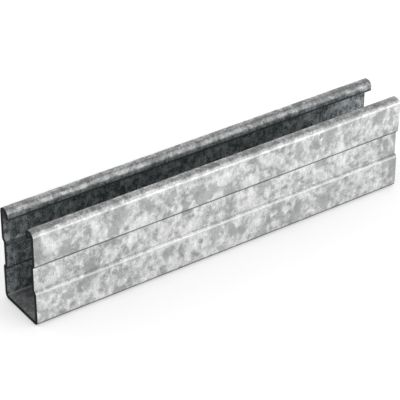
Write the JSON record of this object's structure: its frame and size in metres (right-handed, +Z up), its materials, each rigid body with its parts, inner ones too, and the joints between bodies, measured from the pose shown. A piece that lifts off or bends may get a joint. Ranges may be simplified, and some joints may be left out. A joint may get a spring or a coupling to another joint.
{
  "type": "strut channel",
  "caption": "Deep metal strut channel with in-turned lips beside its slot and a groove pressed into each side wall, for frames that carry pipes, ducts and trays.",
  "frame": {"origin": "middle of the web's underside, where the channel rests on the floor", "axes": "+X along the channel, +Y across it from one side wall to the other, +Z up from the web to the slot between the lips"},
  "size_m": [0.3, 0.0412, 0.072],
  "materials": {
    "galvanised_steel": "hot dip galvanised, dull grey with a soft mottle, bare steel on the cut ends"
  },
  "bodies": {
    "root": {"strut_channel": "galvanised_steel"}
  },
  "joints": []
}
